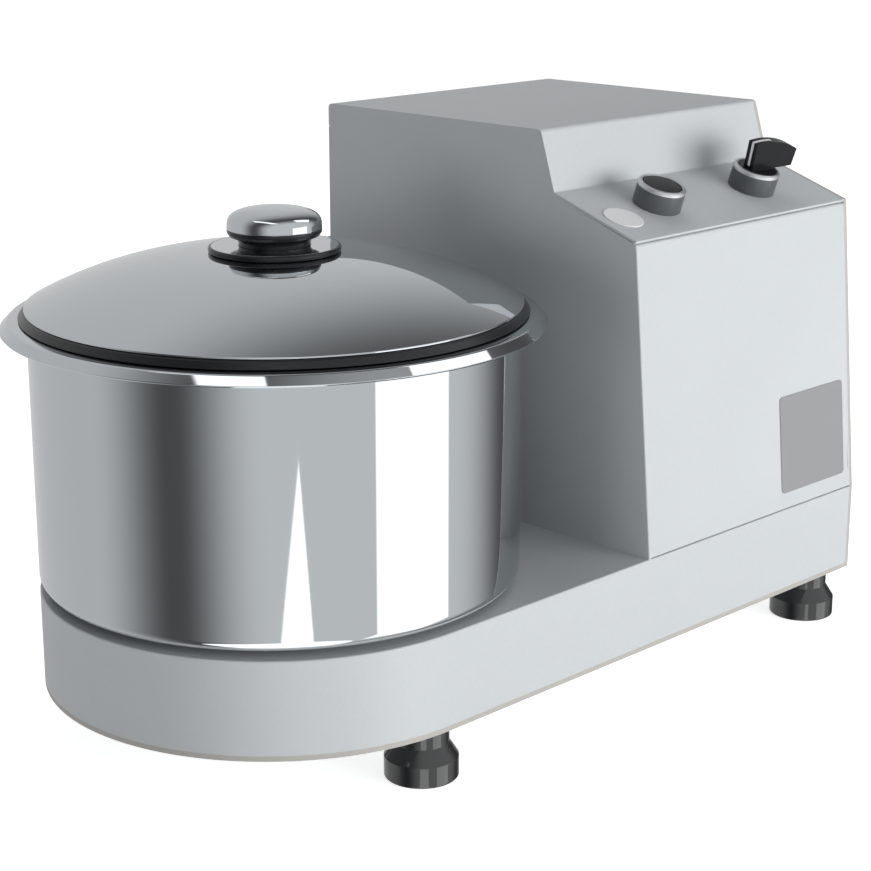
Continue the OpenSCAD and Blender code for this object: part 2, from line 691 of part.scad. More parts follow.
// Pulleys with V grooves for the ribbed belt
cheek_t = 1.2;
cheek_out = 2.5;
module pulley(r) {
    translate([0, 0, pulley_low_z]) rotate_extrude() difference() {
        translate([shaft_r + fit_gap, 0]) union() {
            square([r - shaft_r, pulley_wall_h]);
            for (z = [0, pulley_wall_h - cheek_t]) translate([0, z])
                square([r - shaft_r + cheek_out, cheek_t]);
        }
        for (k = [0 : ribs - 1]) translate([r, pulley_wall_h / 2 + (k - (ribs - 1) / 2) * rib_pitch])
            polygon([[0.5, -0.95], [0.5, 0.95], [-rib_h - 0.4, 0.3], [-rib_h - 0.4, -0.3]]);
    }
}
module spindle_pulley() { color(cast_grey) at_bowl() pulley(spindle_pulley_r); }
module motor_pulley() { color(cast_grey) at_motor() pulley(motor_pulley_r); }
// Belt: a flat band with ribs that run in the pulleys' grooves, wrapped round both pulleys
belt_c = norm([motor_x - bowl_x, motor_y]);
belt_turn = atan2(motor_y, motor_x - bowl_x);
belt_back = 2.2;
belt_steps = 24;
belt_wrap = acos((spindle_pulley_r - motor_pulley_r) / belt_c);
function loop_points(out) = [
    for (i = [0 : belt_steps]) let (t = belt_wrap + (360 - 2 * belt_wrap) * i / belt_steps)
        (spindle_pulley_r + out) * toward(t),
    for (i = [0 : belt_steps]) let (t = -belt_wrap + 2 * belt_wrap * i / belt_steps)
        [belt_c, 0] + (motor_pulley_r + out) * toward(t)
];
module belt_loop(low, high, inner, outer) {
    translate([0, 0, low]) linear_extrude(high - low) difference() {
        polygon(loop_points(outer));
        polygon(loop_points(inner));
    }
}
module drive_belt() {
    color(rubber) at_bowl() rotate([0, 0, belt_turn]) translate([0, 0, pulley_low_z + pulley_wall_h / 2]) {
        belt_loop(-belt_w / 2, belt_w / 2, fit_gap + 0.25, belt_back);
        for (k = [0 : ribs - 1]) let (mid = (k - (ribs - 1) / 2) * rib_pitch)
            belt_loop(mid - 0.3, mid + 0.3, 0.5 - rib_h, 1);
    }
}

// Motor

motor_plate_t = 6;
motor_screw_r = 3;
slide = 6;
motor_z = base_top + motor_plate_t;
bell_h = 20;
bell_wall = 5;
frame_z = motor_z + bell_h;
frame_top = frame_z + motor_len;
frame_wall_r = motor_r - 6;
frame_bore_r = frame_wall_r - 4;
rotor_r = 34;
motor_bearing_low_z = motor_z + 3;
motor_bearing_high_z = frame_top + 3;
fan_z = frame_top + bell_h + 3;
cowl_top = fan_z + 22;
module motor_plate() {
    color(plate_grey) difference() {
        translate([motor_x - motor_plate_w / 2, motor_y - motor_plate_w / 2, base_top])
            cube([motor_plate_w, motor_plate_w, motor_plate_t]);
        at_motor() translate([0, 0, base_top]) hole(motor_hole_r, motor_plate_t);
        for (q = plate_bolt_places) translate([q.x, q.y, base_top]) hole(bolt_r + hole_gap, motor_plate_t);
        // Slots let the motor slide to tighten the belt
        at_motor() translate([0, 0, base_top - past]) linear_extrude(motor_plate_t + 2 * past)
            for (a = [45 : 90 : 315]) translate(motor_bolt_r * toward(a)) {
                square([slide, 2 * (motor_screw_r + hole_gap)], center = true);
                for (s = [-1, 1]) translate([s * slide / 2, 0]) circle(r = motor_screw_r + hole_gap);
            }
    }
}
module plate_screws() {
    color(bright_steel) for (q = plate_bolt_places) translate([q.x, q.y, 0]) {
        disc(bolt_r, base_under - foot_nut_h - 1, motor_z);
        translate([0, 0, motor_z]) cylinder(r = foot_nut_r, h = 5, $fn = 6);
        translate([0, 0, base_under - foot_nut_h]) cylinder(r = foot_nut_r, h = foot_nut_h, $fn = 6);
    }
}
module bell_body() {
    difference() {
        union() {
            cylinder(r = motor_r, h = bell_wall);
            cylinder(r = bearing_r + bell_wall, h = bell_h);
            ring(frame_wall_r, frame_wall_r - bell_wall, bell_h);
            ring_of(8, bearing_r + 3) translate([0, -1.5, 0])
                cube([frame_wall_r - bearing_r - 5, 3, bell_h - 4]);
        }
        hole(shaft_r + 2, bell_h);
        translate([0, 0, 3]) cylinder(r = bearing_r + fit_gap, h = bell_h);
    }
}
module motor_flange() {
    color(cast_grey) at_motor() translate([0, 0, motor_z]) difference() {
        bell_body();
        ring_of(4, motor_bolt_r, 45) disc(motor_screw_r + fit_gap, -past, bell_h - 4);
    }
}
module motor_end_bell() {
    color(cast_grey) at_motor() translate([0, 0, frame_top]) union() {
        difference() {
            union() {
                cylinder(r = motor_r, h = bell_wall);
                cylinder(r = bearing_r + bell_wall, h = bell_h);
            }
            hole(shaft_r + 2, bell_h);
            disc(bearing_r + fit_gap, -past, bearing_w + 3);
        }
    }
}
// Finned frame round the stator
fins = 32;
fin_t = 2;
module motor_frame() {
    color(cast_grey) at_motor() translate([0, 0, frame_z]) linear_extrude(motor_len) difference() {
        union() {
            circle(r = frame_wall_r);
            for (i = [0 : fins - 1]) rotate(i * 360 / fins) translate([frame_wall_r - 1, -fin_t / 2])
                square([motor_r - frame_wall_r + 1, fin_t]);
        }
        circle(r = frame_bore_r);
    }
}
module motor_stator() {
    stack_low = 14;
    stack_h = motor_len - 2 * stack_low;
    color(copper) at_motor() translate([0, 0, frame_z]) {
        translate([0, 0, stack_low]) ring(frame_bore_r - fit_gap, rotor_r + run_gap, stack_h);
        for (z = [stack_low - 9, stack_low + stack_h]) translate([0, 0, z]) rotate_extrude() {
            translate([rotor_r + 4, 0]) square([9, 9]);
        }
    }
}
cowl_wall = 1.5;
cowl_hole_r = 3.5;
module fan_cowl() {
    color(black) at_motor() difference() {
        disc(motor_r, frame_top + bell_wall, cowl_top);
        disc(motor_r - cowl_wall, frame_top + bell_wall - past, cowl_top - cowl_wall);
        translate([0, 0, cowl_top - cowl_wall]) for (k = [0 : 2])
            ring_of(10 + 6 * k, motor_r * (5 + 3 * k) / 15) hole(cowl_hole_r, cowl_wall, $fn = 24);
    }
}
module motor_bolts() {
    color(bright_steel) at_motor() ring_of(4, motor_bolt_r, 45) {
        disc(motor_screw_r, base_top - 6, motor_z + 12);
        translate([0, 0, base_top - 5]) cylinder(r = 6, h = 5, $fn = 6);
    }
}
module motor_shaft() {
    color(bright_steel) at_motor() disc(shaft_r, pulley_low_z - 1, fan_z + fan_h - 3);
}
// Laminated rotor with its inner bearing rings
module rotor_core() {
    color(cast_grey) at_motor() {
        translate([0, 0, frame_z + 12]) ring(rotor_r, shaft_r + fit_gap, motor_len - 24);
        for (z = [motor_bearing_low_z, motor_bearing_high_z]) translate([0, 0, z]) inner_ring();
    }
}
fan_h = 14;
fan_hub_r = shaft_r + 6;
fan_r = motor_r * 0.8;
blade_t = 2;
module motor_fan() {
    color(black) at_motor() translate([0, 0, fan_z]) union() {
        ring(fan_hub_r, shaft_r + fit_gap, fan_h);
        ring(fan_r, shaft_r + fit_gap, blade_t);
        ring_of(9, fan_hub_r - 1) translate([0, -blade_t / 2, 0]) cube([fan_r - fan_hub_r, blade_t, fan_h]);
    }
}
// Electrics
bracket_gap = 11;      // behind the motor
bracket_h = 104;
bracket_w = 118;
bracket_y = motor_y + motor_r + bracket_gap;
board_y = bracket_y + sheet_t;
electrics_gap = 5;     // in front of the rear panel
electrics_d = base_r - sheet_t - electrics_gap - board_y;
// Angle bracket that stands on the motor's plate
module electrics_bracket() {
    color(steel) translate([motor_x - bracket_w / 2, bracket_y, motor_z]) union() {
        cube([bracket_w, sheet_t, bracket_h]);
        cube([bracket_w, 12, sheet_t]);
    }
}
// Contactor: its case with a lower block behind for the terminals
contactor_w = 45;
contactor_h = 60;
contactor_up = 34;
contactor_step = 8;
module contactor() {
    color(dark_grey) translate([motor_x + 3, board_y, motor_z + contactor_up]) union() {
        cube([contactor_w, electrics_d * 0.77, contactor_h]);
        translate([2, 0, contactor_step])
            cube([contactor_w - 4, electrics_d, contactor_h - 2 * contactor_step]);
    }
}
capacitor_r = electrics_d / 2;
capacitor_h = 76;
capacitor_up = 15;
lug_h = 9;
module capacitor() {
    color(bone) translate([motor_x - bracket_w * 0.3, board_y + capacitor_r, motor_z + capacitor_up]) {
        cylinder(r = capacitor_r, h = capacitor_h);
        translate([0, 0, capacitor_h]) cylinder(r = capacitor_r * 0.8, h = 4);
        for (s = [-1, 1]) translate([s * capacitor_r * 0.4 - 0.5, -3, capacitor_h + 3]) cube([1, 6, lug_h]);
    }
}

// Controls

barrel_r = 11;
barrel_bore_r = 8.5;
barrel_len = 26;
cap_low = 6;
stem_r = 6;
block_h = 24;
block_w = 28;
ring_edge_r = 1.6;
cap_gap = 0.3;
module at_controls() {
    for (u = [button_u, selector_u]) on_panel(u, control_v) children();
}
// Grey bezels, screwed down by the barrels behind the panel
module control_bezels() {
    color(dark_grey) at_controls() difference() {
        cylinder(r = bezel_r, h = bezel_h - ring_h);
        translate([0, 0, 2]) cylinder(r = cap_r + cap_gap, h = bezel_h);
        translate([0, 0, -past]) cylinder(r = barrel_bore_r, h = 4);
    }
}
module control_rings() {
    color(bright_steel) at_controls() translate([0, 0, bezel_h - ring_h]) rotate_extrude() {
        difference() {
            translate([cap_r + cap_gap, 0]) square([bezel_r - cap_r - cap_gap, ring_h]);
            translate([bezel_r - ring_edge_r, ring_h - ring_edge_r]) difference() {
                square(ring_edge_r + past);
                circle(r = ring_edge_r);
            }
        }
    }
}
module control_barrels() {
    color(black) at_controls() translate([0, 0, -barrel_len]) {
        ring(barrel_r, barrel_bore_r, barrel_len);
        translate([0, 0, barrel_len - sheet_t - 4]) ring(14, barrel_r, 4);
    }
}
module contact_blocks() {
    color(dark_grey) at_controls() translate([0, 0, -barrel_len - block_h]) union() {
        translate([-block_w / 2, -block_w / 2, 0]) cube([block_w, block_w, block_h]);
        for (s = [-1, 1]) translate([s * 8 - 3, -17, 4]) cube([6, 34, 10]);
    }
}
// Push button's cap with its stem; it slides into the barrel
module button_cap() {
    color(black) on_panel(button_u, control_v) union() {
        translate([0, 0, cap_low]) cylinder(r = cap_r, h = bezel_h - cap_low - 0.6);
        translate([0, 0, bezel_h - 0.6]) cylinder(r1 = cap_r, r2 = cap_r - 0.8, h = 0.6);
        disc(stem_r, button_travel + 1 - barrel_len, cap_low + 1);
    }
}
// Selector: round foot, stem and an arched handle that reaches over the bezel
arch_r = 62;
module handle_side() {
    low = bezel_h + 0.4;
    top = bezel_h + handle_h;
    intersection() {
        polygon([
            [-handle_short + 2.6, bezel_h - past], [-handle_short, top], [handle_long, top],
            [handle_long - 0.6, bezel_h + 1.2], [cap_r - 1, low], [cap_r - 1, bezel_h - past]
        ]);
        translate([1, top - arch_r]) circle(r = arch_r, $fn = 180);
    }
}
module selector_turn() {
    on_panel(selector_u, control_v) rotate([0, 0, -handle_turn]) children();
}
index_w = 1.8;
index_in = 0.7;
module selector_handle() {
    color(black) selector_turn() difference() {
        union() {
            translate([0, 0, 3]) cylinder(r = cap_r, h = bezel_h - 3);
            disc(stem_r, 2 - barrel_len, 4);
            rotate([90, 0, 0]) translate([0, 0, -handle_t / 2]) linear_extrude(handle_t) handle_side();
        }
        index_strip(0);
    }
}
// White line let into the pointer end and half of the arched top
module index_strip(gap) {
    w = index_w - 2 * gap;
    rotate([90, 0, 0]) translate([0, 0, -w / 2]) linear_extrude(w) difference() {
        intersection() {
            handle_side();
            translate([-handle_short - past, bezel_h + 1.5]) square([handle_short + 5, handle_h + past]);
        }
        intersection() {
            translate([index_in - gap, gap - index_in]) handle_side();
            translate([-handle_short, 0]) square([40, bezel_h + handle_h - index_in + gap]);
        }
    }
}
module selector_index() { color(bone) selector_turn() index_strip(0.02); }

// Bowl

seat_top = base_top + seat_h;
floor_top = seat_top + bowl_t;
rim_z = seat_top + bowl_h;
bowl_ri = bowl_r - bowl_t;
rim_roll = fold_r + bowl_t;
// The lip's line starts above the rolled edge, so that the roll's crest lies at the rim's height
rim_corner_z = rim_z + rim_roll * (mitre([1, 0], [-sin(rim_slope), -cos(rim_slope)]).y * -1 - 1);
tube_fillet = 4;
crest_r = rim_r - lip_facet;
// Height of the lip's nearly flat inner ring, carried on to the radius r
function crest_z(r) = rim_corner_z - (r - bowl_ri) * tan(rim_slope);
bowl_line = [
    [tube_r, seat_top + tube_h], [tube_r, floor_top], [bowl_ri, floor_top],
    [bowl_ri, rim_corner_z], [crest_r, crest_z(crest_r)],
    [rim_r, crest_z(crest_r) - lip_facet * tan(lip_slope)]
];
bowl_radii = [tube_fillet, bowl_corner_r - bowl_t, fold_r, fold_r / 3];
module bowl_shell() {
    color(bright_steel) at_bowl() rotate_extrude($fn = 180)
        polygon(sheet_section(bowl_line, bowl_t, bowl_radii));
}
// Ring under the bowl that drops over the seat; its notches take the seat's pins
notch_w = seat_h + 0.2;
module bowl_foot_ring() {
    color(bright_steel) at_bowl() translate([0, 0, base_top + 0.6]) difference() {
        cylinder(r = seat_r + 7, h = seat_h - 0.6);
        hole(seat_r + part_gap, seat_h);
        ring_of(3, seat_r) translate([-past, -notch_w / 2, -past])
            cube([pin_out + 2 * part_gap + past, notch_w, seat_h + past]);
    }
}

// Lid

gasket_low = rim_z + part_gap;
lid_edge_z = rim_z + gasket_h;
lid_top = lid_edge_z + lid_rise;
lid_run = lid_r - lid_flat_r;
curve_r = (lid_run * lid_run + lid_rise * lid_rise) / (2 * lid_rise);
curve_mid_z = lid_top - curve_r;
// Height of the surface that lies d inside the lid's outside, at the radius r
function lid_z(r, d) = curve_mid_z + sqrt(pow(curve_r - d, 2) - pow(r - lid_flat_r, 2));
// Region under that surface: the flat middle, then one arc to the edge
module under_lid(d) {
    low = lid_edge_z - 12;
    translate([0, low]) square([lid_flat_r, lid_top - d - low]);
    intersection() {
        translate([lid_flat_r, curve_mid_z]) circle(r = curve_r - d, $fn = 360);
        translate([lid_flat_r - 0.01, low]) square([lid_run + past, lid_top - low]);
    }
}
module lid_dome() {
    color(bright_steel) at_bowl() difference() {
        rotate_extrude($fn = 180) intersection() {
            difference() {
                under_lid(0);
                under_lid(lid_t);
            }
            translate([0, lid_edge_z - 10]) square([lid_r, lid_top - lid_edge_z + 20]);
        }
        translate([0, 0, lid_top - lid_t]) hole(knob_screw_r + hole_gap, lid_t);
    }
}
// Rubber gasket under the lid's edge: it lies on the rim and reaches down inside the bowl
gasket_w = 3.9;
gasket_deep = 9;
gasket_lip = 6.3;
gasket_bead = 0.9;
module lid_gasket() {
    inner = bowl_ri - run_gap - gasket_w;
    lip = bowl_ri + gasket_lip;
    color(rubber) at_bowl() rotate_extrude($fn = 180) polygon([
        [inner, lid_z(inner, lid_t)],
        [inner, rim_z - gasket_deep],
        [inner + gasket_w * 0.8, rim_z - gasket_deep - 0.6],
        [bowl_ri - run_gap, rim_z - gasket_deep / 2],
        [bowl_ri - run_gap, gasket_low],
        [bowl_ri + rim_roll + rim_roll * sin(rim_slope), gasket_low],
        [lip, crest_z(lip) + part_gap / cos(rim_slope)],
        [lid_r + gasket_bead, lid_z(lid_r, lid_t) - 0.5],
        [lid_r - 0.4, lid_z(lid_r - 0.4, lid_t)]
    ]);
}
// Knob: guard disc with a polished face, waisted neck, bright cap and the screw from below
knob_screw_r = 3;
guard_z = lid_top;
neck_z = guard_z + guard_t;
cap_z = neck_z + 9;
knob_top = neck_z + knob_h;
guard_edge = 1.5;
face_t = 0.5;
face_in = knob_waist_r + 0.5;
module knob_guard() {
    color(black) at_bowl() translate([0, 0, guard_z]) difference() {
        rotate_extrude() difference() {
            square([guard_r, guard_t]);
            for (z = [guard_edge, guard_t - guard_edge], s = [z < guard_t / 2 ? -1 : 1])
                translate([guard_r - guard_edge, z]) scale([1, s]) difference() {
                    square(guard_edge + past);
                    circle(r = guard_edge);
                }
        }
        hole(knob_screw_r + hole_gap, guard_t);
        translate([0, 0, guard_t - face_t]) ring(guard_r - guard_edge, face_in, face_t + past);
    }
}
module guard_face() {
    color(bright_steel) at_bowl() translate([0, 0, neck_z - face_t])
        ring(guard_r - guard_edge - fit_gap, face_in + fit_gap, face_t);
}
// Neck: a hollow curve from the waist on the guard out to a flange under the cap
module knob_neck() {
    h = cap_z - neck_z;
    out = knob_r - knob_waist_r;
    color(black) at_bowl() translate([0, 0, neck_z]) difference() {
        rotate_extrude() polygon(concat([[0, 0]], [
            for (q = neck_curve) [knob_waist_r + q.x * out, q.y * h]
        ], [[0, h]]));
        hole(knob_screw_r + fit_gap, h);
    }
}
// The neck's outline as shares of its reach and its height
neck_curve = [
    [0, 0], [0.03, 0.11], [0.09, 0.2], [0.15, 0.29], [0.21, 0.37], [0.3, 0.44],
    [0.48, 0.49], [0.72, 0.55], [0.83, 0.62], [0.94, 0.73], [1, 0.84], [1, 1]
];
// Cap: nearly upright at its foot, an ellipse above
cap_draw = 0.4;
module knob_cap() {
    low_h = 2.3;
    dome_h = knob_top - cap_z - low_h;
    color(bright_steel) at_bowl() translate([0, 0, cap_z]) difference() {
        rotate_extrude($fn = 120) polygon(concat(
            [[0, 0], [knob_r - 0.15, 0], [knob_r, cap_draw]],
            [for (a = [10 : 5 : 85]) [(knob_r - cap_draw) * cos(a), low_h + dome_h * sin(a)]],
            [[0, low_h + dome_h]]
        ));
        translate([0, 0, -past]) cylinder(r = knob_screw_r + fit_gap, h = 6 + past);
    }
}
washer_t = 1.2;
module knob_screw() {
    color(bright_steel) at_bowl() union() {
        translate([0, 0, lid_top - lid_t - washer_t]) ring(8, knob_screw_r, washer_t);
        translate([0, 0, lid_top - lid_t - washer_t - 4]) cylinder(r = 5.5, h = 4, $fn = 6);
        disc(knob_screw_r, lid_top - lid_t - 2, cap_z + 5);
    }
}

// Knives

hub_ri = tube_r + hub_gap;
hub_ro = hub_ri + hub_wall;
hub_low = floor_top + hub_lift;
hub_flange_t = 2.5;
knife_low_z = hub_low + hub_flange_t;
knife_high_z = knife_low_z + knife_rise;
hub_top = hex_z + hex_h - 12;
hub_boss_r = 16;
// Hub: a sleeve over the bowl's centre tube, closed above by a boss with a hexagon socket
module knife_hub() {
    color(bright_steel) at_bowl() difference() {
        union() {
            translate([0, 0, hub_low]) cylinder(r = hub_ro, h = hub_top - hub_low);
            translate([0, 0, hub_low]) cylinder(r = hub_ro + 5, h = hub_flange_t);
            translate([0, 0, hub_top]) cylinder(r1 = hub_ro, r2 = hub_boss_r, h = 6);
            translate([0, 0, hub_top]) cylinder(r = hub_boss_r, h = 18);
        }
        translate([0, 0, hub_low - past]) cylinder(r = hub_ri, h = seat_top + tube_h + 2 - hub_low + past);
        disc((hex_flat / 2 + part_gap) / cos(30), hex_z, hex_z + hex_h + part_gap, $fn = 6);
    }
}
// One sickle-shaped arm: a convex ground edge in front, a hollow back behind
arm_r = 84;
arm_c = [46, -70];
back_r = 75.5;
back_c = [47.8, -85.5];
knife_disc_r = hub_ro + 11;
module arm_outline() {
    intersection() {
        difference() {
            translate(arm_c) circle(r = arm_r, $fn = 180);
            translate(back_c) circle(r = back_r, $fn = 180);
        }
        circle(r = knife_reach, $fn = 180);
        translate([0, -knife_reach]) square([knife_reach, 2 * knife_reach]);
    }
}
// What the grinding takes away: all that lies outside a cone above the thin flat edge
edge_land = 0.4;
module bevel_cut() {
    slope = knife_bevel / (knife_t - edge_land);
    difference() {
        translate([arm_c.x, arm_c.y, edge_land]) difference() {
            cylinder(r = arm_r + 2 * past, h = knife_t);
            cylinder(r1 = arm_r, r2 = arm_r - slope * knife_t, h = knife_t);
        }
        cylinder(r = knife_disc_r + past, h = 2 * knife_t);
        translate([-2 * knife_reach, -2 * knife_reach, 0])
            cube([2 * knife_reach, 4 * knife_reach, 2 * knife_t]);
    }
}
module knife(turn) {
    difference() {
        linear_extrude(knife_t) difference() {
            union() {
                circle(r = knife_disc_r);
                for (a = [0, 180]) rotate(a + turn) arm_outline();
            }
            circle(r = hub_ro + fit_gap);
        }
        for (a = [0, 180]) rotate([0, 0, a + turn]) bevel_cut();
    }
}
module lower_knife() { color(bright_steel) at_bowl() translate([0, 0, knife_low_z]) knife(20); }
module upper_knife() { color(bright_steel) at_bowl() translate([0, 0, knife_high_z]) knife(110); }
module knife_spacer() {
    color(bright_steel) at_bowl() translate([0, 0, knife_low_z + knife_t])
        ring(hub_ro + 5, hub_ro + fit_gap, knife_rise - knife_t);
}
module knife_nut() {
    color(bright_steel) at_bowl() translate([0, 0, knife_high_z + knife_t]) difference() {
        ring(hub_ro + 5.5, hub_ro + fit_gap, 8);
        ring_of(6, hub_ro + 6.5) translate([0, 0, -past]) cylinder(r = 2.5, h = 8 + 2 * past);
    }
}
module hub_cap() {
    cap_grip_r = hub_boss_r + 3;
    color(black) at_bowl() translate([0, 0, hub_top + 18]) difference() {
        union() {
            cylinder(r1 = hub_boss_r, r2 = cap_grip_r, h = 3);
            translate([0, 0, 3]) cylinder(r = cap_grip_r, h = 9);
            translate([0, 0, 12]) cylinder(r1 = cap_grip_r, r2 = cap_grip_r - 3, h = 2);
        }
        ring_of(12, cap_grip_r + 2) translate([0, 0, -past]) cylinder(r = 3.2, h = 16);
    }
}

base_shell();
base_plate();
side_plate();
front_wrap();
top_deck();
rear_panel();
feet();
foot_bolts();
cover_screws();
label_plate();
round_plate();
cable_gland();
gland_nut();
bowl_seat();
seat_screws();
spindle_housing();
bearing_outer_rings();
bearing_balls();
shaft_seal();
motor_plate();
plate_screws();
motor_flange();
motor_frame();
motor_stator();
motor_end_bell();
fan_cowl();
motor_bolts();
drive_belt();
capacitor();
contactor();
electrics_bracket();
control_bezels();
control_rings();
control_barrels();
contact_blocks();
bowl_shell();
bowl_foot_ring();
lid_dome();
lid_gasket();
knob_guard();
guard_face();
knob_neck();
knob_cap();
knob_screw();
knife_hub();
lower_knife();
upper_knife();
knife_spacer();
knife_nut();
hub_cap();
spindle();
spindle_pulley();
spindle_inner_rings();
motor_shaft();
rotor_core();
motor_pulley();
motor_fan();
button_cap();
selector_handle();
selector_index();
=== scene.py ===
import math
import bpy
from mathutils import Matrix, Vector


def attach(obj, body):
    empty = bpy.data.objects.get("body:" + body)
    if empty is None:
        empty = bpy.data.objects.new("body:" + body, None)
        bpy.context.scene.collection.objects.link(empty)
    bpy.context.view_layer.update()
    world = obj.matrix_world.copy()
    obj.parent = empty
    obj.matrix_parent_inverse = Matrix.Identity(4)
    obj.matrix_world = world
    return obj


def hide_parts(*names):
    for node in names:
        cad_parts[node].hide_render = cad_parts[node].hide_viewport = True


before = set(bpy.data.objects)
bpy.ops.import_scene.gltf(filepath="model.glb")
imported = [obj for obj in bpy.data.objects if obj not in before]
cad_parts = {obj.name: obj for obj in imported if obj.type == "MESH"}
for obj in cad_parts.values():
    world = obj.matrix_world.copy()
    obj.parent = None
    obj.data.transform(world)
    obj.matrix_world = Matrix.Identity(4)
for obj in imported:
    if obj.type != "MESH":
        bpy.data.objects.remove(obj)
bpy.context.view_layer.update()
mm = 0.001

# Studio: a plain pale floor with a soft shadow, and a camera at the photograph's angle.
# Bright metal sees the same white room, with a dark screen to each side, a soft box at the front right
# and two strips overhead.
look_down = 15.85
look_right = 45.22
camera_data = bpy.data.cameras.new("studio_camera")
camera_data.lens = 85.99
camera_data.sensor_width = 36
camera = bpy.data.objects.new("studio_camera", camera_data)
bpy.context.scene.collection.objects.link(camera)
camera.location = (-840.55 * mm, -848.0 * mm, 483.6 * mm)
camera.rotation_euler = (math.radians(90 - look_down), 0, math.radians(-look_right))
bpy.context.scene.camera = camera
bpy.context.scene.view_settings.view_transform = "Standard"

room = bpy.data.worlds.new("white_room")
bpy.context.scene.world = room
room.use_nodes = True
tree = room.node_tree
nodes = tree.nodes
links = tree.links
nodes.clear()


def math_node(tree, operation, *values, clamp=False):
    """A Math node whose inputs are numbers or other nodes' outputs; returns its output."""
    node = tree.nodes.new("ShaderNodeMath")
    node.operation = operation
    node.use_clamp = clamp
    for socket, value in zip(node.inputs, values):
        if isinstance(value, bpy.types.NodeSocket):
            tree.links.new(value, socket)
        else:
            socket.default_value = value
    return node.outputs[0]


def ramp_node(tree, value, start, end, low=0.0, high=1.0):
    """A smooth change from low to high while the value goes from start to end; returns its output."""
    node = tree.nodes.new("ShaderNodeMapRange")
    node.interpolation_type = "SMOOTHSTEP"
    for name, number in (("From Min", start), ("From Max", end), ("To Min", low), ("To Max", high)):
        node.inputs[name].default_value = number
    tree.links.new(value, node.inputs["Value"])
    return node.outputs["Result"]


def between(tree, value, low, high, soft):
    """1 where the value lies between low and high, with soft edges."""
    rise = ramp_node(tree, value, low - soft, low + soft)
    fall = ramp_node(tree, value, high - soft, high + soft, 1.0, 0.0)
    return math_node(tree, "MULTIPLY", rise, fall)


direction = nodes.new("ShaderNodeTexCoord")
split = nodes.new("ShaderNodeSeparateXYZ")
links.new(direction.outputs["Generated"], split.inputs[0])
east, north, height = split.outputs
azimuth = math_node(tree, "MULTIPLY", math_node(tree, "ARCTAN2", north, east), 180 / math.pi)
wall = 1.0
dark_screen = 0.13
back_wall = 0.84
soft_box_level = 2.3
# The dark screens stand left and right, and the room gets lighter away from the plane they stand in
screen_level = ramp_node(tree, math_node(tree, "ABSOLUTE", north), 0.03, 0.68, dark_screen, wall)
back_level = ramp_node(tree, north, -0.1, 0.3, wall, back_wall)
grey_room = math_node(tree, "MULTIPLY", screen_level, back_level)
# Soft box at the front right, cut off a little above eye level
soft_box = math_node(tree, "MULTIPLY", between(tree, azimuth, -86.3, -46.5, 0.3),
                     between(tree, height, -0.75, 0.12, 0.02))
# Low wedge of light at the front, beside the soft box; its two sides lean together as it rises
wedge_left = math_node(tree, "MULTIPLY_ADD", height, 116.0, -89.0)
wedge_right = math_node(tree, "MULTIPLY_ADD", height, -66.0, -141.0)
in_wedge = math_node(tree, "MULTIPLY", math_node(tree, "GREATER_THAN", azimuth, wedge_left),
                     math_node(tree, "LESS_THAN", azimuth, wedge_right))
# Two strips overhead
strip_left = math_node(tree, "MULTIPLY", between(tree, east, -0.37, -0.2, 0.005),
                       between(tree, height, 0.88, 1.1, 0.01))
strip_right = math_node(tree, "MULTIPLY", between(tree, east, 0.41, 0.79, 0.005),
                        math_node(tree, "MULTIPLY", between(tree, north, -0.42, -0.12, 0.01),
                                  between(tree, height, 0.5, 0.9, 0.01)))
bright = math_node(tree, "MAXIMUM", math_node(tree, "MAXIMUM", soft_box, in_wedge),
                   math_node(tree, "MAXIMUM", strip_left, strip_right))
room_level = nodes.new("ShaderNodeMix")
links.new(bright, room_level.inputs["Factor"])
links.new(grey_room, room_level.inputs["A"])
room_level.inputs["B"].default_value = soft_box_level
reflected = nodes.new("ShaderNodeBackground")
links.new(room_level.outputs["Result"], reflected.inputs["Strength"])
# The soft fill light comes from the right; the camera sees plain white behind the floor
fill_left = 0.24
fill_right = 0.42
fill = nodes.new("ShaderNodeBackground")
links.new(ramp_node(tree, east, -0.7, 0.5, fill_left, fill_right), fill.inputs["Strength"])
plain = nodes.new("ShaderNodeBackground")
plain.inputs["Strength"].default_value = wall
path = nodes.new("ShaderNodeLightPath")
shown = nodes.new("ShaderNodeMixShader")
links.new(path.outputs["Is Camera Ray"], shown.inputs[0])
links.new(fill.outputs[0], shown.inputs[1])
links.new(plain.outputs[0], shown.inputs[2])
mixed = nodes.new("ShaderNodeMixShader")
links.new(path.outputs["Is Glossy Ray"], mixed.inputs[0])
links.new(shown.outputs[0], mixed.inputs[1])
links.new(reflected.outputs[0], mixed.inputs[2])
world_output = nodes.new("ShaderNodeOutputWorld")
links.new(mixed.outputs[0], world_output.inputs["Surface"])

bpy.ops.object.select_all(action="DESELECT")
bpy.ops.mesh.primitive_plane_add(size=30, location=(0, 0, 0))
floor = bpy.context.object
floor.name = "floor"
floor.visible_glossy = False
floor_material = bpy.data.materials.new("pale_floor")
floor_material.use_nodes = True
floor_tree = floor_material.node_tree
floor_shader = floor_tree.nodes["Principled BSDF"]
floor_shader.inputs["Base Color"].default_value = (0.93, 0.93, 0.93, 1)
floor_shader.inputs["Roughness"].default_value = 1.0
floor_shader.inputs["Specular IOR Level"].default_value = 0.0
# The floor glows for the camera alone, which keeps it nearly white without lighting the machine
floor_glow = 0.76
floor_path = floor_tree.nodes.new("ShaderNodeLightPath")
floor_shader.inputs["Emission Color"].default_value = (1, 1, 1, 1)
floor_tree.links.new(math_node(floor_tree, "MULTIPLY", floor_path.outputs["Is Camera Ray"], floor_glow),
                     floor_shader.inputs["Emission Strength"])
floor.data.materials.append(floor_material)


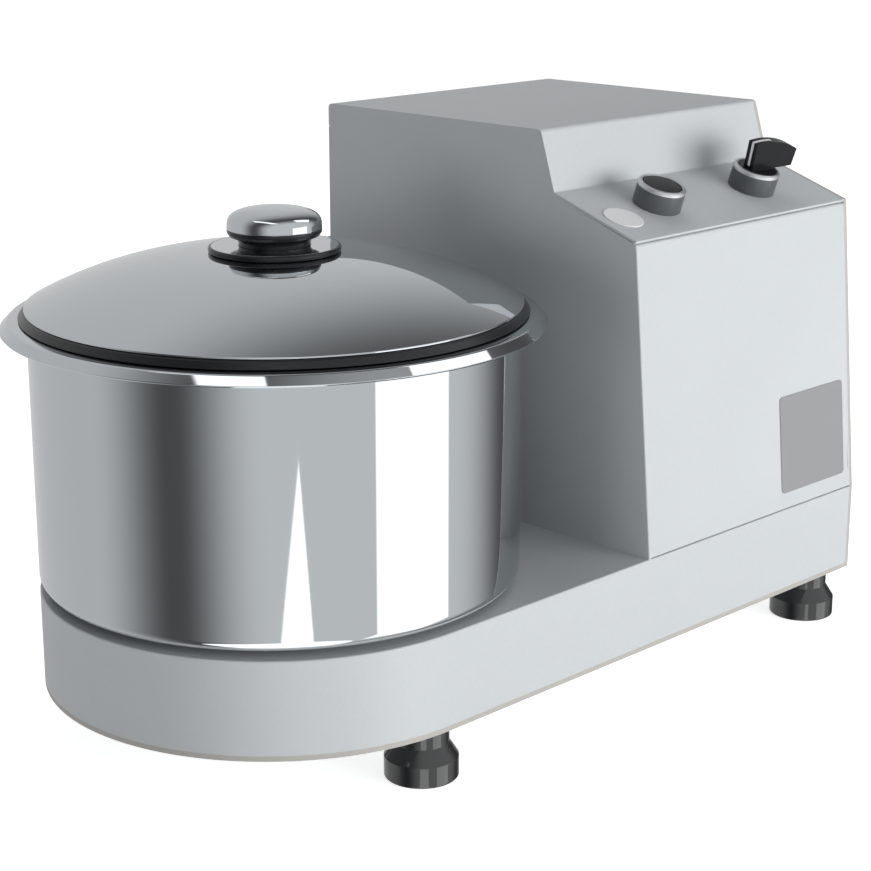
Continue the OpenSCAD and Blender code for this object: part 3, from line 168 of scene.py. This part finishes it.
def area_lamp(name, width, height, energy, place, target):
    """A soft box lamp that shiny metal doesn't show."""
    lamp_data = bpy.data.lights.new(name, "AREA")
    lamp_data.shape = "RECTANGLE"
    lamp_data.size = width
    lamp_data.size_y = height
    lamp_data.energy = energy
    lamp = bpy.data.objects.new(name, lamp_data)
    lamp.location = place
    lamp.rotation_euler = (Vector(target) - Vector(place)).to_track_quat("-Z", "Y").to_euler()
    lamp.visible_glossy = False
    bpy.context.scene.collection.objects.link(lamp)


area_lamp("key_lamp", width=2.1, height=0.8, energy=43, place=(0.6, -2.15, 0.42), target=(0, 0, 0.15))
area_lamp("left_lamp", width=0.8, height=0.5, energy=7.5, place=(-2.1, -0.3, 0.3), target=(0, 0, 0.1))
area_lamp("overhead_lamp", width=1.6, height=1.6, energy=14, place=(0.7, 1.2, 2.0), target=(0.1, 0, 0.3))


# Feet: four moulded cups of glossy black plastic, each screwed to a stud that is nutted inside the base.
# A wide round rim stands on the table, and a cone draws it in to a neck under the base plate.
def rounded(corners):
    """An outline's points, from corners given as (across, up) or (across, up, rounding).

    A corner with a rounding becomes an arc of short chords.
    """
    chords = 7
    points = []
    for i, corner in enumerate(corners):
        here = Vector(corner[:2])
        if len(corner) < 3:
            points.append(here)
            continue
        rounding = corner[2]
        back = (Vector(corners[i - 1][:2]) - here).normalized()
        ahead = (Vector(corners[(i + 1) % len(corners)][:2]) - here).normalized()
        half = back.angle(ahead) / 2
        centre = here + (back + ahead).normalized() * rounding / math.sin(half)
        first = here + back * rounding / math.tan(half) - centre
        turn = first.angle_signed(here + ahead * rounding / math.tan(half) - centre)
        for k in range(chords + 1):
            points.append(centre + Matrix.Rotation(-turn * k / chords, 2) @ first)
    return points


def keep_flats_flat(piece):
    """Lets a mesh's large faces set the shading, so that flats stay flat beside small roundings."""
    weighted = piece.modifiers.new("weighted", "WEIGHTED_NORMAL")
    weighted.weight = 100
    weighted.keep_sharp = True
    bpy.ops.object.modifier_apply(modifier="weighted")


# Points closer than the weld become one; faces that meet at more than the crisp angle keep a sharp edge
weld = 2e-6
crisp_angle = math.radians(35)


def turned(name, corners, centre=(0, 0), steps=96, closed=False):
    """A turned piece: its outline, (radius, height) in mm, is spun round the upright axis at centre."""
    points = rounded(corners)
    if closed:
        points.append(points[0])
    bpy.ops.object.select_all(action="DESELECT")
    bpy.ops.mesh.primitive_plane_add(size=mm)
    piece = bpy.context.object
    piece.name = name
    bpy.ops.object.mode_set(mode="EDIT")
    bpy.ops.mesh.select_all(action="SELECT")
    bpy.ops.mesh.merge(type="CENTER")
    x, y = centre[0] * mm, centre[1] * mm
    at = Vector((0, 0))
    for k, point in enumerate(points):
        step = (point - at) * mm
        if k == 0:
            bpy.ops.transform.translate(value=(x + step.x, y, step.y))
        else:
            bpy.ops.mesh.extrude_region_move(TRANSFORM_OT_translate={"value": (step.x, 0, step.y)})
        at = point
    bpy.ops.mesh.select_all(action="SELECT")
    bpy.ops.mesh.spin(steps=steps, angle=2 * math.pi, center=(x, y, 0), axis=(0, 0, 1))
    bpy.ops.mesh.select_all(action="SELECT")
    bpy.ops.mesh.remove_doubles(threshold=weld)
    bpy.ops.mesh.normals_make_consistent(inside=False)
    bpy.ops.object.mode_set(mode="OBJECT")
    bpy.ops.object.shade_smooth_by_angle(angle=crisp_angle)
    keep_flats_flat(piece)
    return piece


def joined(pieces, name):
    """Several pieces as one object."""
    bpy.ops.object.select_all(action="DESELECT")
    for piece in pieces:
        piece.select_set(True)
    bpy.context.view_layer.objects.active = pieces[0]
    bpy.ops.object.join()
    pieces[0].name = name
    return pieces[0]


def stands_for(piece, body, slot_name, material, *nodes):
    """A finished piece gets its material, rides on its body and stands for its CAD nodes."""
    piece.data.materials.clear()
    piece.data.materials.append(material)
    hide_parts(*nodes)
    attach(piece, body)


def new_group(name, inputs, outputs):
    """An empty shader node group with number inputs (name: default) and outputs (name: socket type)."""
    group = bpy.data.node_groups.new(name, "ShaderNodeTree")
    for label, value in inputs.items():
        socket = group.interface.new_socket(label, in_out="INPUT", socket_type="NodeSocketFloat")
        socket.default_value = value
    for label, kind in outputs.items():
        group.interface.new_socket(label, in_out="OUTPUT", socket_type=kind)
    return group, group.nodes.new("NodeGroupInput"), group.nodes.new("NodeGroupOutput")


def noise_node(tree, place, scale):
    """A noise texture on Object coordinates; scale is a number or a node's output."""
    node = tree.nodes.new("ShaderNodeTexNoise")
    node.inputs["Detail"].default_value = 2
    tree.links.new(place, node.inputs["Vector"])
    if isinstance(scale, bpy.types.NodeSocket):
        tree.links.new(scale, node.inputs["Scale"])
    else:
        node.inputs["Scale"].default_value = scale
    return node.outputs["Fac"]


# Surface grain for plastics and metals alike: slow changes of gloss and shade, and a fine bump.
# Its scale counts grains to the metre
grain_scale = 900.0
slow_scale = 22
bump_height = 0.03 * mm
surface_grain, grain_in, grain_out = new_group(
    "surface_grain", {"Scale": grain_scale, "Gloss": 0.3, "Change": 0.1, "Speck": 0.0, "Depth": 0.1},
    {"Roughness": "NodeSocketFloat", "Shade": "NodeSocketFloat", "Normal": "NodeSocketVector"})
grain_place = surface_grain.nodes.new("ShaderNodeTexCoord").outputs["Object"]
grain_fine = noise_node(surface_grain, grain_place, grain_in.outputs["Scale"])
grain_slow = noise_node(surface_grain, grain_place, slow_scale)
grain_speck = math_node(surface_grain, "MULTIPLY", math_node(surface_grain, "SUBTRACT", grain_fine, 0.5),
                        grain_in.outputs["Speck"])
grain_change = math_node(surface_grain, "MULTIPLY", math_node(surface_grain, "SUBTRACT", grain_slow, 0.5),
                         grain_in.outputs["Change"])
grain_rough = math_node(surface_grain, "ADD", grain_change, grain_in.outputs["Gloss"], clamp=True)
grain_shade = math_node(surface_grain, "MULTIPLY_ADD", grain_change, 0.5,
                        math_node(surface_grain, "ADD", grain_speck, 1.0))
grain_bump = surface_grain.nodes.new("ShaderNodeBump")
grain_bump.inputs["Distance"].default_value = bump_height
surface_grain.links.new(grain_fine, grain_bump.inputs["Height"])
surface_grain.links.new(grain_in.outputs["Depth"], grain_bump.inputs["Strength"])
surface_grain.links.new(grain_rough, grain_out.inputs["Roughness"])
surface_grain.links.new(grain_shade, grain_out.inputs["Shade"])
surface_grain.links.new(grain_bump.outputs["Normal"], grain_out.inputs["Normal"])
# Sockets of a colour Mix node, counted, because several of them share a name
mix_factor, mix_first, mix_second, mix_result = 0, 6, 7, 2


def finish_of(name, colour, gloss, metallic=0.0, scale=grain_scale, change=0.1, speck=0.0, depth=0.1,
              specular=0.5):
    """A material whose shade, roughness and normal come from surface_grain; gloss 0 is a mirror."""
    material = bpy.data.materials.new(name)
    material.use_nodes = True
    tree = material.node_tree
    shader = tree.nodes["Principled BSDF"]
    for socket, value in (("Base Color", (*colour, 1)), ("Roughness", gloss), ("Metallic", metallic),
                          ("Specular IOR Level", specular)):
        shader.inputs[socket].default_value = value
    grain = tree.nodes.new("ShaderNodeGroup")
    grain.node_tree = surface_grain
    for socket, value in (("Scale", scale), ("Gloss", gloss), ("Change", change), ("Speck", speck),
                          ("Depth", depth)):
        grain.inputs[socket].default_value = value
    shaded = tree.nodes.new("ShaderNodeMix")
    shaded.name = "shaded"
    shaded.data_type = "RGBA"
    shaded.blend_type = "MULTIPLY"
    shaded.inputs[mix_factor].default_value = 1
    shaded.inputs[mix_first].default_value = (*colour, 1)
    tree.links.new(grain.outputs["Shade"], shaded.inputs[mix_second])
    tree.links.new(shaded.outputs[mix_result], shader.inputs["Base Color"])
    tree.links.new(grain.outputs["Roughness"], shader.inputs["Roughness"])
    tree.links.new(grain.outputs["Normal"], shader.inputs["Normal"])
    return material


rim_r = 20.4
foot_neck_r = 15.2
foot_top = 31
foot_outline = [(0, 0), (rim_r, 0, 1.2), (rim_r, 12, 0.7), (foot_neck_r, 20.2, 0.8), (foot_neck_r, foot_top),
                (0, foot_top)]
foot_plastic = finish_of("foot_plastic", (0.012, 0.014, 0.015), 0.05, change=0.04, depth=0.02, specular=1.0)
feet = [turned("foot", foot_outline, (x, y), 64) for x in (-112.35, 238.65) for y in (-114.6, 114.6)]
stands_for(joined(feet, "moulded_feet"), "root", "foot_plastic", foot_plastic, "feet")


# Base: a folded satin shell, round at the bowl, closed from below by a thicker plate with ground edges.
# The shell's top edge is ground to a small round, and the plate is screwed to its folded lip.
def softened(name, node, width):
    """A copy of a CAD node, merged and freed of its triangles, its sharp edges rounded to width mm."""
    nearly_flat = math.radians(0.3)
    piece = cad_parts[node].copy()
    piece.data = piece.data.copy()
    piece.name = name
    piece.parent = None
    bpy.context.scene.collection.objects.link(piece)
    bpy.ops.object.select_all(action="DESELECT")
    bpy.context.view_layer.objects.active = piece
    piece.select_set(True)
    bpy.ops.object.mode_set(mode="EDIT")
    bpy.ops.mesh.select_all(action="SELECT")
    bpy.ops.mesh.customdata_custom_splitnormals_clear()
    bpy.ops.mesh.remove_doubles(threshold=weld)
    bpy.ops.mesh.dissolve_limited(angle_limit=nearly_flat)
    bpy.ops.object.mode_set(mode="OBJECT")
    bevel = piece.modifiers.new("bevel", "BEVEL")
    bevel.width = width * mm
    bevel.segments = 3
    bevel.limit_method = "ANGLE"
    bevel.angle_limit = crisp_angle
    bevel.use_clamp_overlap = True
    bpy.ops.object.modifier_apply(modifier="bevel")
    bpy.ops.object.shade_smooth_by_angle(angle=crisp_angle)
    keep_flats_flat(piece)
    return piece


satin_grey = (0.565, 0.592, 0.608)
ground_edge = (0.47, 0.455, 0.43)


def satin_sheet(name):
    """The fine satin of the folded sheets and the plates."""
    return finish_of(name, satin_grey, 0.45, metallic=0.12, scale=1100, change=0.05, speck=0.1, depth=0.05,
                     specular=0.25)


def cut_plate(name, axis):
    """A satin plate whose ground edges, where the normal leaves the given axis, are a duller warm grey."""
    material = satin_sheet(name)
    tree = material.node_tree
    faces = tree.nodes.new("ShaderNodeSeparateXYZ")
    tree.links.new(tree.nodes.new("ShaderNodeTexCoord").outputs["Normal"], faces.inputs[0])
    flat = ramp_node(tree, math_node(tree, "ABSOLUTE", faces.outputs[axis]), 0.9, 0.98)
    edged = tree.nodes.new("ShaderNodeMix")
    edged.data_type = "RGBA"
    tree.links.new(flat, edged.inputs[mix_factor])
    edged.inputs[mix_first].default_value = (*ground_edge, 1)
    edged.inputs[mix_second].default_value = (*satin_grey, 1)
    tree.links.new(edged.outputs[mix_result], tree.nodes["shaded"].inputs[mix_first])
    return material


steel_sheet = satin_sheet("steel_sheet")
stands_for(softened("folded_base", "base_shell", 0.3), "root", "steel_sheet", steel_sheet, "base_shell")
stands_for(softened("bottom_plate", "base_plate", 0.35), "root", "sheet_edge", cut_plate("bottom_steel", 2),
           "base_plate")


# Housing: front face and near wall from one sheet, and control panel, step and top from a second one.
# A thick side plate closes the housing at the right; its ground edge shows past the folded sheets.
for name, node, width in (("front_sheet", "front_wrap", 0.18), ("top_sheet", "top_deck", 0.18),
                          ("back_sheet", "rear_panel", 0.25)):
    stands_for(softened(name, node, width), "root", "steel_sheet", steel_sheet, node)
stands_for(softened("side_sheet", "side_plate", 0.35), "root", "sheet_edge", cut_plate("side_steel", 0),
           "side_plate")


def finish_node(material, *names):
    """CAD nodes that stay in view get their material."""
    for name in names:
        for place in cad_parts[name].material_slots:
            place.material = material


screw_steel = finish_of("screw_steel", (0.5, 0.51, 0.52), 0.3, metallic=1.0, depth=0.02)
finish_node(screw_steel, "cover_screws", "seat_screws", "foot_bolts", "plate_screws", "motor_bolts",
            "knob_screw")


# Bare plates: a rectangle with rounded corners on the front face and a disc on the control panel.
# Both are thin metal, glued on, with nothing printed on them.
label_metal = finish_of("label_metal", (0.31, 0.315, 0.32), 0.5, metallic=0.3, scale=1500, speck=0.04)
round_label = finish_of("round_label", (0.80, 0.81, 0.82), 0.5, scale=1500, speck=0.04)
stands_for(softened("front_badge", "label_plate", 0.15), "root", "label_metal", label_metal, "label_plate")
stands_for(softened("panel_badge", "round_plate", 0.12), "root", "round_label", round_label, "round_plate")


# Controls: a push button and a selector, each in a grey moulded bezel with a bright rounded ring.
# They stand square on the sloping panel, so they're turned upright and then laid into its slope.
panel_slope = math.radians(18.4)
panel_edge = Vector((53.55, -118.885, 270.2)) * mm
controls_up = 32.5
button_along = 55.3
selector_along = 147.2
bezel_grey = finish_of("bezel_grey", (0.085, 0.092, 0.096), 0.34, change=0.06, depth=0.05)
ring_chrome = finish_of("ring_chrome", (0.66, 0.68, 0.70), 0.42, metallic=1.0, change=0.04, depth=0.01)
control_black = finish_of("control_black", (0.008, 0.0095, 0.0105), 0.26, change=0.06, depth=0.05,
                          specular=0.2)


def on_panel(piece, along):
    """Lays a piece that stands on the origin onto the panel, that many millimetres along its edge."""
    up_slope = Vector((0, math.cos(panel_slope), math.sin(panel_slope))) * controls_up * mm
    bpy.ops.object.select_all(action="DESELECT")
    piece.select_set(True)
    bpy.context.view_layer.objects.active = piece
    piece.location = panel_edge + Vector((along * mm, 0, 0)) + up_slope
    piece.rotation_euler = (panel_slope, 0, 0)
    bpy.ops.object.transform_apply(location=True, rotation=True, scale=True)
    return piece


bezel_r = 14.6
bore_r = 12
bezel_top = 11.4
bezel_outline = [(bore_r, 2), (bore_r, bezel_top, 0.15), (bezel_r, bezel_top, 0.25), (bezel_r, 0, 0.3),
                 (8.5, 0), (8.5, 2)]
ring_foot = 11.42
ring_top = 14
ring_outline = [(bore_r, ring_foot), (bore_r, ring_top, 0.5), (bezel_r, ring_top, 1.6),
                (bezel_r, ring_foot, 0.2)]
bezels = []
rings = []
for along in (button_along, selector_along):
    bezels.append(on_panel(turned("bezel", bezel_outline, steps=72, closed=True), along))
    rings.append(on_panel(turned("ring", ring_outline, closed=True), along))
stands_for(joined(bezels, "moulded_bezels"), "root", "bezel_grey", bezel_grey, "control_bezels")
stands_for(joined(rings, "bright_rings"), "root", "ring_chrome", ring_chrome, "control_rings")

button_r = 11.7
stem_r = 6
button_outline = [(0, -22), (stem_r, -22, 0.5), (stem_r, 6), (button_r, 6, 0.2), (button_r, 13.8, 0.9),
                  (6, 14), (0, 14)]
button = on_panel(turned("push_button", button_outline, steps=72), button_along)
stands_for(button, "button", "control_black", control_black, "button_cap")
stands_for(softened("arched_handle", "selector_handle", 0.45), "selector", "control_black", control_black,
           "selector_handle")
index_white = finish_of("index_white", (0.78, 0.79, 0.80), 0.4, change=0.02, depth=0.02)
finish_node(index_white, "selector_index")


# Bowl: spun and polished steel with a centre tube, a flat crest round its mouth and a sloping outer facet.
# The bowl stands on a ring whose notches take the pins of the seat below.
bowl_axis = (-110.05, 0)
bowl_r = 135
bowl_bottom = 90
bowl_sheet = 1.5
tube_r = 29.5
tube_top = 156
mirror_gloss = 0.035
satin_gloss = 0.4


def polished(name):
    """Sheet steel, polished until it mirrors the room."""
    return finish_of(name, (0.56, 0.592, 0.61), mirror_gloss, metallic=1.0, scale=60, change=0.015,
                     depth=0.0)


polished_steel = polished("polished_steel")
bowl = turned("polished_bowl", [
    (tube_r + bowl_sheet, tube_top, 0.4), (tube_r + bowl_sheet, bowl_bottom + bowl_sheet, 4),
    (bowl_r - bowl_sheet, bowl_bottom + bowl_sheet, 4.5), (bowl_r - bowl_sheet, 239.074, 3),
    (145, 238.068, 2), (149.6, 233.468, 0.35), (148.54, 232.407, 0.35), (144.325, 236.621, 0.5),
    (bowl_r, 237.437, 1.5), (bowl_r, bowl_bottom, 6), (tube_r, bowl_bottom, 5), (tube_r, tube_top, 0.4)],
    bowl_axis, 256, closed=True)
# Inside, where food is cut, the bowl is left satin; the satin starts within the thickness of its sheet
bowl_steel = polished("bowl_steel")
tree = bowl_steel.node_tree
bowl_place = tree.nodes.new("ShaderNodeSeparateXYZ")
tree.links.new(tree.nodes.new("ShaderNodeTexCoord").outputs["Object"], bowl_place.inputs[0])
across, deep, up = bowl_place.outputs
from_axis = math_node(tree, "SUBTRACT", across, bowl_axis[0] * mm)
reach = math_node(tree, "SQRT", math_node(tree, "ADD", math_node(tree, "MULTIPLY", from_axis, from_axis),
                                          math_node(tree, "MULTIPLY", deep, deep)))
in_wall = between(tree, reach, 30.2 * mm, 134.2 * mm, 0.1 * mm)
above_bottom = between(tree, up, 90.8 * mm, 236.5 * mm, 0.1 * mm)
satin = math_node(tree, "MULTIPLY", in_wall, above_bottom)
steel_shader = tree.nodes["Principled BSDF"]
tree.links.new(ramp_node(tree, satin, 0, 1, mirror_gloss, satin_gloss), steel_shader.inputs["Roughness"])
tree.links.new(ramp_node(tree, satin, 0, 1, 1.0, 0.35), steel_shader.inputs["Metallic"])
stands_for(bowl, "bowl", "polished_steel", bowl_steel, "bowl_shell")
finish_node(polished_steel, "bowl_foot_ring", "bowl_seat")


# Lid: a pressed dome, flat under the knob and then one arc down to its edge, in the same polished steel.
# A dark rubber gasket grips its edge, lies on the bowl's crest and reaches down inside the mouth.
lid_top = 271.35
lid_edge_r = 136
lid_sheet = 1.2
flat_r = 28.9
arc_r = 227.03
arc_z = lid_top - arc_r
arc_chords = 48
arc_end = math.asin((lid_edge_r - flat_r) / arc_r)


def dome(radius):
    """The dome's outline, from the flat under the knob down to the last point before its edge."""
    angles = [arc_end * k / arc_chords for k in range(arc_chords)]
    return [(flat_r + radius * math.sin(a), arc_z + radius * math.cos(a)) for a in angles]


lid = turned("polished_lid", [(0, lid_top), *dome(arc_r), (lid_edge_r, 244.5, 0.45),
                              (lid_edge_r, 243.14, 0.45), *reversed(dome(arc_r - lid_sheet)),
                              (0, lid_top - lid_sheet)], bowl_axis, 256)
stands_for(lid, "lid", "polished_steel", polished_steel, "lid_dome")
gasket_rubber = finish_of("gasket_rubber", (0.010, 0.012, 0.013), 0.3, change=0.08, depth=0.08, specular=0.4)
gasket = turned("rubber_gasket", [
    (129.1, 246.7), (129.1, 229.8, 0.5), (132.2, 229.2, 0.5), (133, 234.3), (133, 239.1, 0.3),
    (136.76, 239.1), (139.8, 238.82, 0.5), (136.9, 242.64, 0.8), (135.6, 243.35)],
    bowl_axis, 192, closed=True)
stands_for(gasket, "lid", "gasket_rubber", gasket_rubber, "lid_gasket")


# Knob: a black finger guard with a polished inlay, a hollow-curved neck and a bright cap.
# One screw from below the lid holds all of it.
guard_r = 36.3
guard_top = 274.75
recess = 274.3
neck_top = 283.75
knob_plastic = finish_of("knob_plastic", (0.010, 0.012, 0.013), 0.22, change=0.06, depth=0.04, specular=0.35)
guard = turned("finger_guard", [(0, lid_top), (guard_r, lid_top, 1.4), (guard_r, guard_top, 1.4),
                                (34.9, guard_top), (34.8, recess), (19.8, recess), (19.8, guard_top),
                                (0, guard_top)], bowl_axis, 128)
stands_for(guard, "lid", "knob_plastic", knob_plastic, "knob_guard")
inlay = turned("guard_inlay", [(19.85, recess), (34.75, recess), (34.75, 274.77, 0.1), (19.85, 274.77, 0.1)],
               bowl_axis, 128, closed=True)
stands_for(inlay, "lid", "polished_steel", polished_steel, "guard_face")
neck = turned("hollow_neck", [(0, guard_top), (19.4, guard_top), (19.7, 277.3, 5), (21.2, 278.9, 1.6),
                              (24.6, 280.0, 1.6), (26, 282.2, 2), (25.9, neck_top, 0.1), (0, neck_top)],
              bowl_axis)
stands_for(neck, "lid", "knob_plastic", knob_plastic, "knob_neck")
# The cap's side runs into its top in full shoulders, rounder than a circle's
cap_r = 25.9
cap_side = 285.3
cap_rise = 10.1
fullness = 0.7
cap_angles = [math.radians(a) for a in range(4, 89, 3)]
cap_curve = [(cap_r * math.cos(a) ** fullness, cap_side + cap_rise * math.sin(a) ** fullness)
             for a in cap_angles]
cap = turned("knob_dome", [(0, neck_top), (25.8, neck_top, 0.15), (26, 284.2, 0.3), *cap_curve,
                           (0, cap_side + cap_rise)], bowl_axis, 128)
stands_for(cap, "lid", "polished_steel", polished_steel, "knob_cap")


# Knife set: two sickle-shaped knives on a sleeve over the bowl's centre tube, set square to each other.
# The blades are steel, ground along their convex edges; a nut and a grip cap hold them down.
knife_steel = finish_of("knife_steel", (0.56, 0.58, 0.59), 0.2, metallic=1.0, scale=700, change=0.05,
                        speck=0.03)
finish_node(knife_steel, "knife_hub", "lower_knife", "upper_knife", "knife_spacer", "knife_nut")
finish_node(knob_plastic, "hub_cap")


# Drive inside the base and the housing: spindle, bearings, belt and pulleys, and the finned motor.
# The housing and pulleys are cast, and the electrics stand on a zinc-plated bracket behind the motor.
cast_housing = finish_of("cast_housing", (0.30, 0.31, 0.32), 0.6, metallic=0.6, scale=500, change=0.15,
                         speck=0.1)
finish_node(cast_housing, "spindle_housing", "spindle_pulley", "motor_pulley", "rotor_core")
motor_paint = finish_of("motor_paint", (0.05, 0.09, 0.14), 0.4, scale=700, depth=0.15)
finish_node(motor_paint, "motor_flange", "motor_frame", "motor_end_bell")
bearing_steel = finish_of("bearing_steel", (0.55, 0.56, 0.57), 0.16, metallic=1.0, change=0.03)
finish_node(bearing_steel, "bearing_outer_rings", "bearing_balls", "spindle", "spindle_inner_rings",
            "motor_shaft")
stator_pack = finish_of("stator_pack", (0.36, 0.17, 0.08), 0.4, metallic=0.7, scale=400, speck=0.2)
finish_node(stator_pack, "motor_stator")
fan_plastic = finish_of("fan_plastic", (0.02, 0.02, 0.022), 0.45)
finish_node(fan_plastic, "fan_cowl", "motor_fan")
belt_rubber = finish_of("belt_rubber", (0.012, 0.012, 0.013), 0.6, depth=0.2)
finish_node(belt_rubber, "drive_belt", "shaft_seal")
electric_plastic = finish_of("electric_plastic", (0.05, 0.055, 0.06), 0.45)
finish_node(electric_plastic, "contactor", "control_barrels", "contact_blocks")
capacitor_shell = finish_of("capacitor_shell", (0.62, 0.62, 0.60), 0.4)
finish_node(capacitor_shell, "capacitor")
plate_zinc = finish_of("plate_zinc", (0.45, 0.46, 0.46), 0.45, metallic=0.9, scale=300, change=0.2)
finish_node(plate_zinc, "electrics_bracket", "motor_plate")


# Cable gland: where a cord would enter through the rear panel.
# A black plastic body stands outside, tightened by a nut inside.
gland_plastic = finish_of("gland_plastic", (0.02, 0.021, 0.022), 0.4)
stands_for(softened("gland_body", "cable_gland", 0.3), "root", "gland_plastic", gland_plastic, "cable_gland")
finish_node(gland_plastic, "gland_nut")
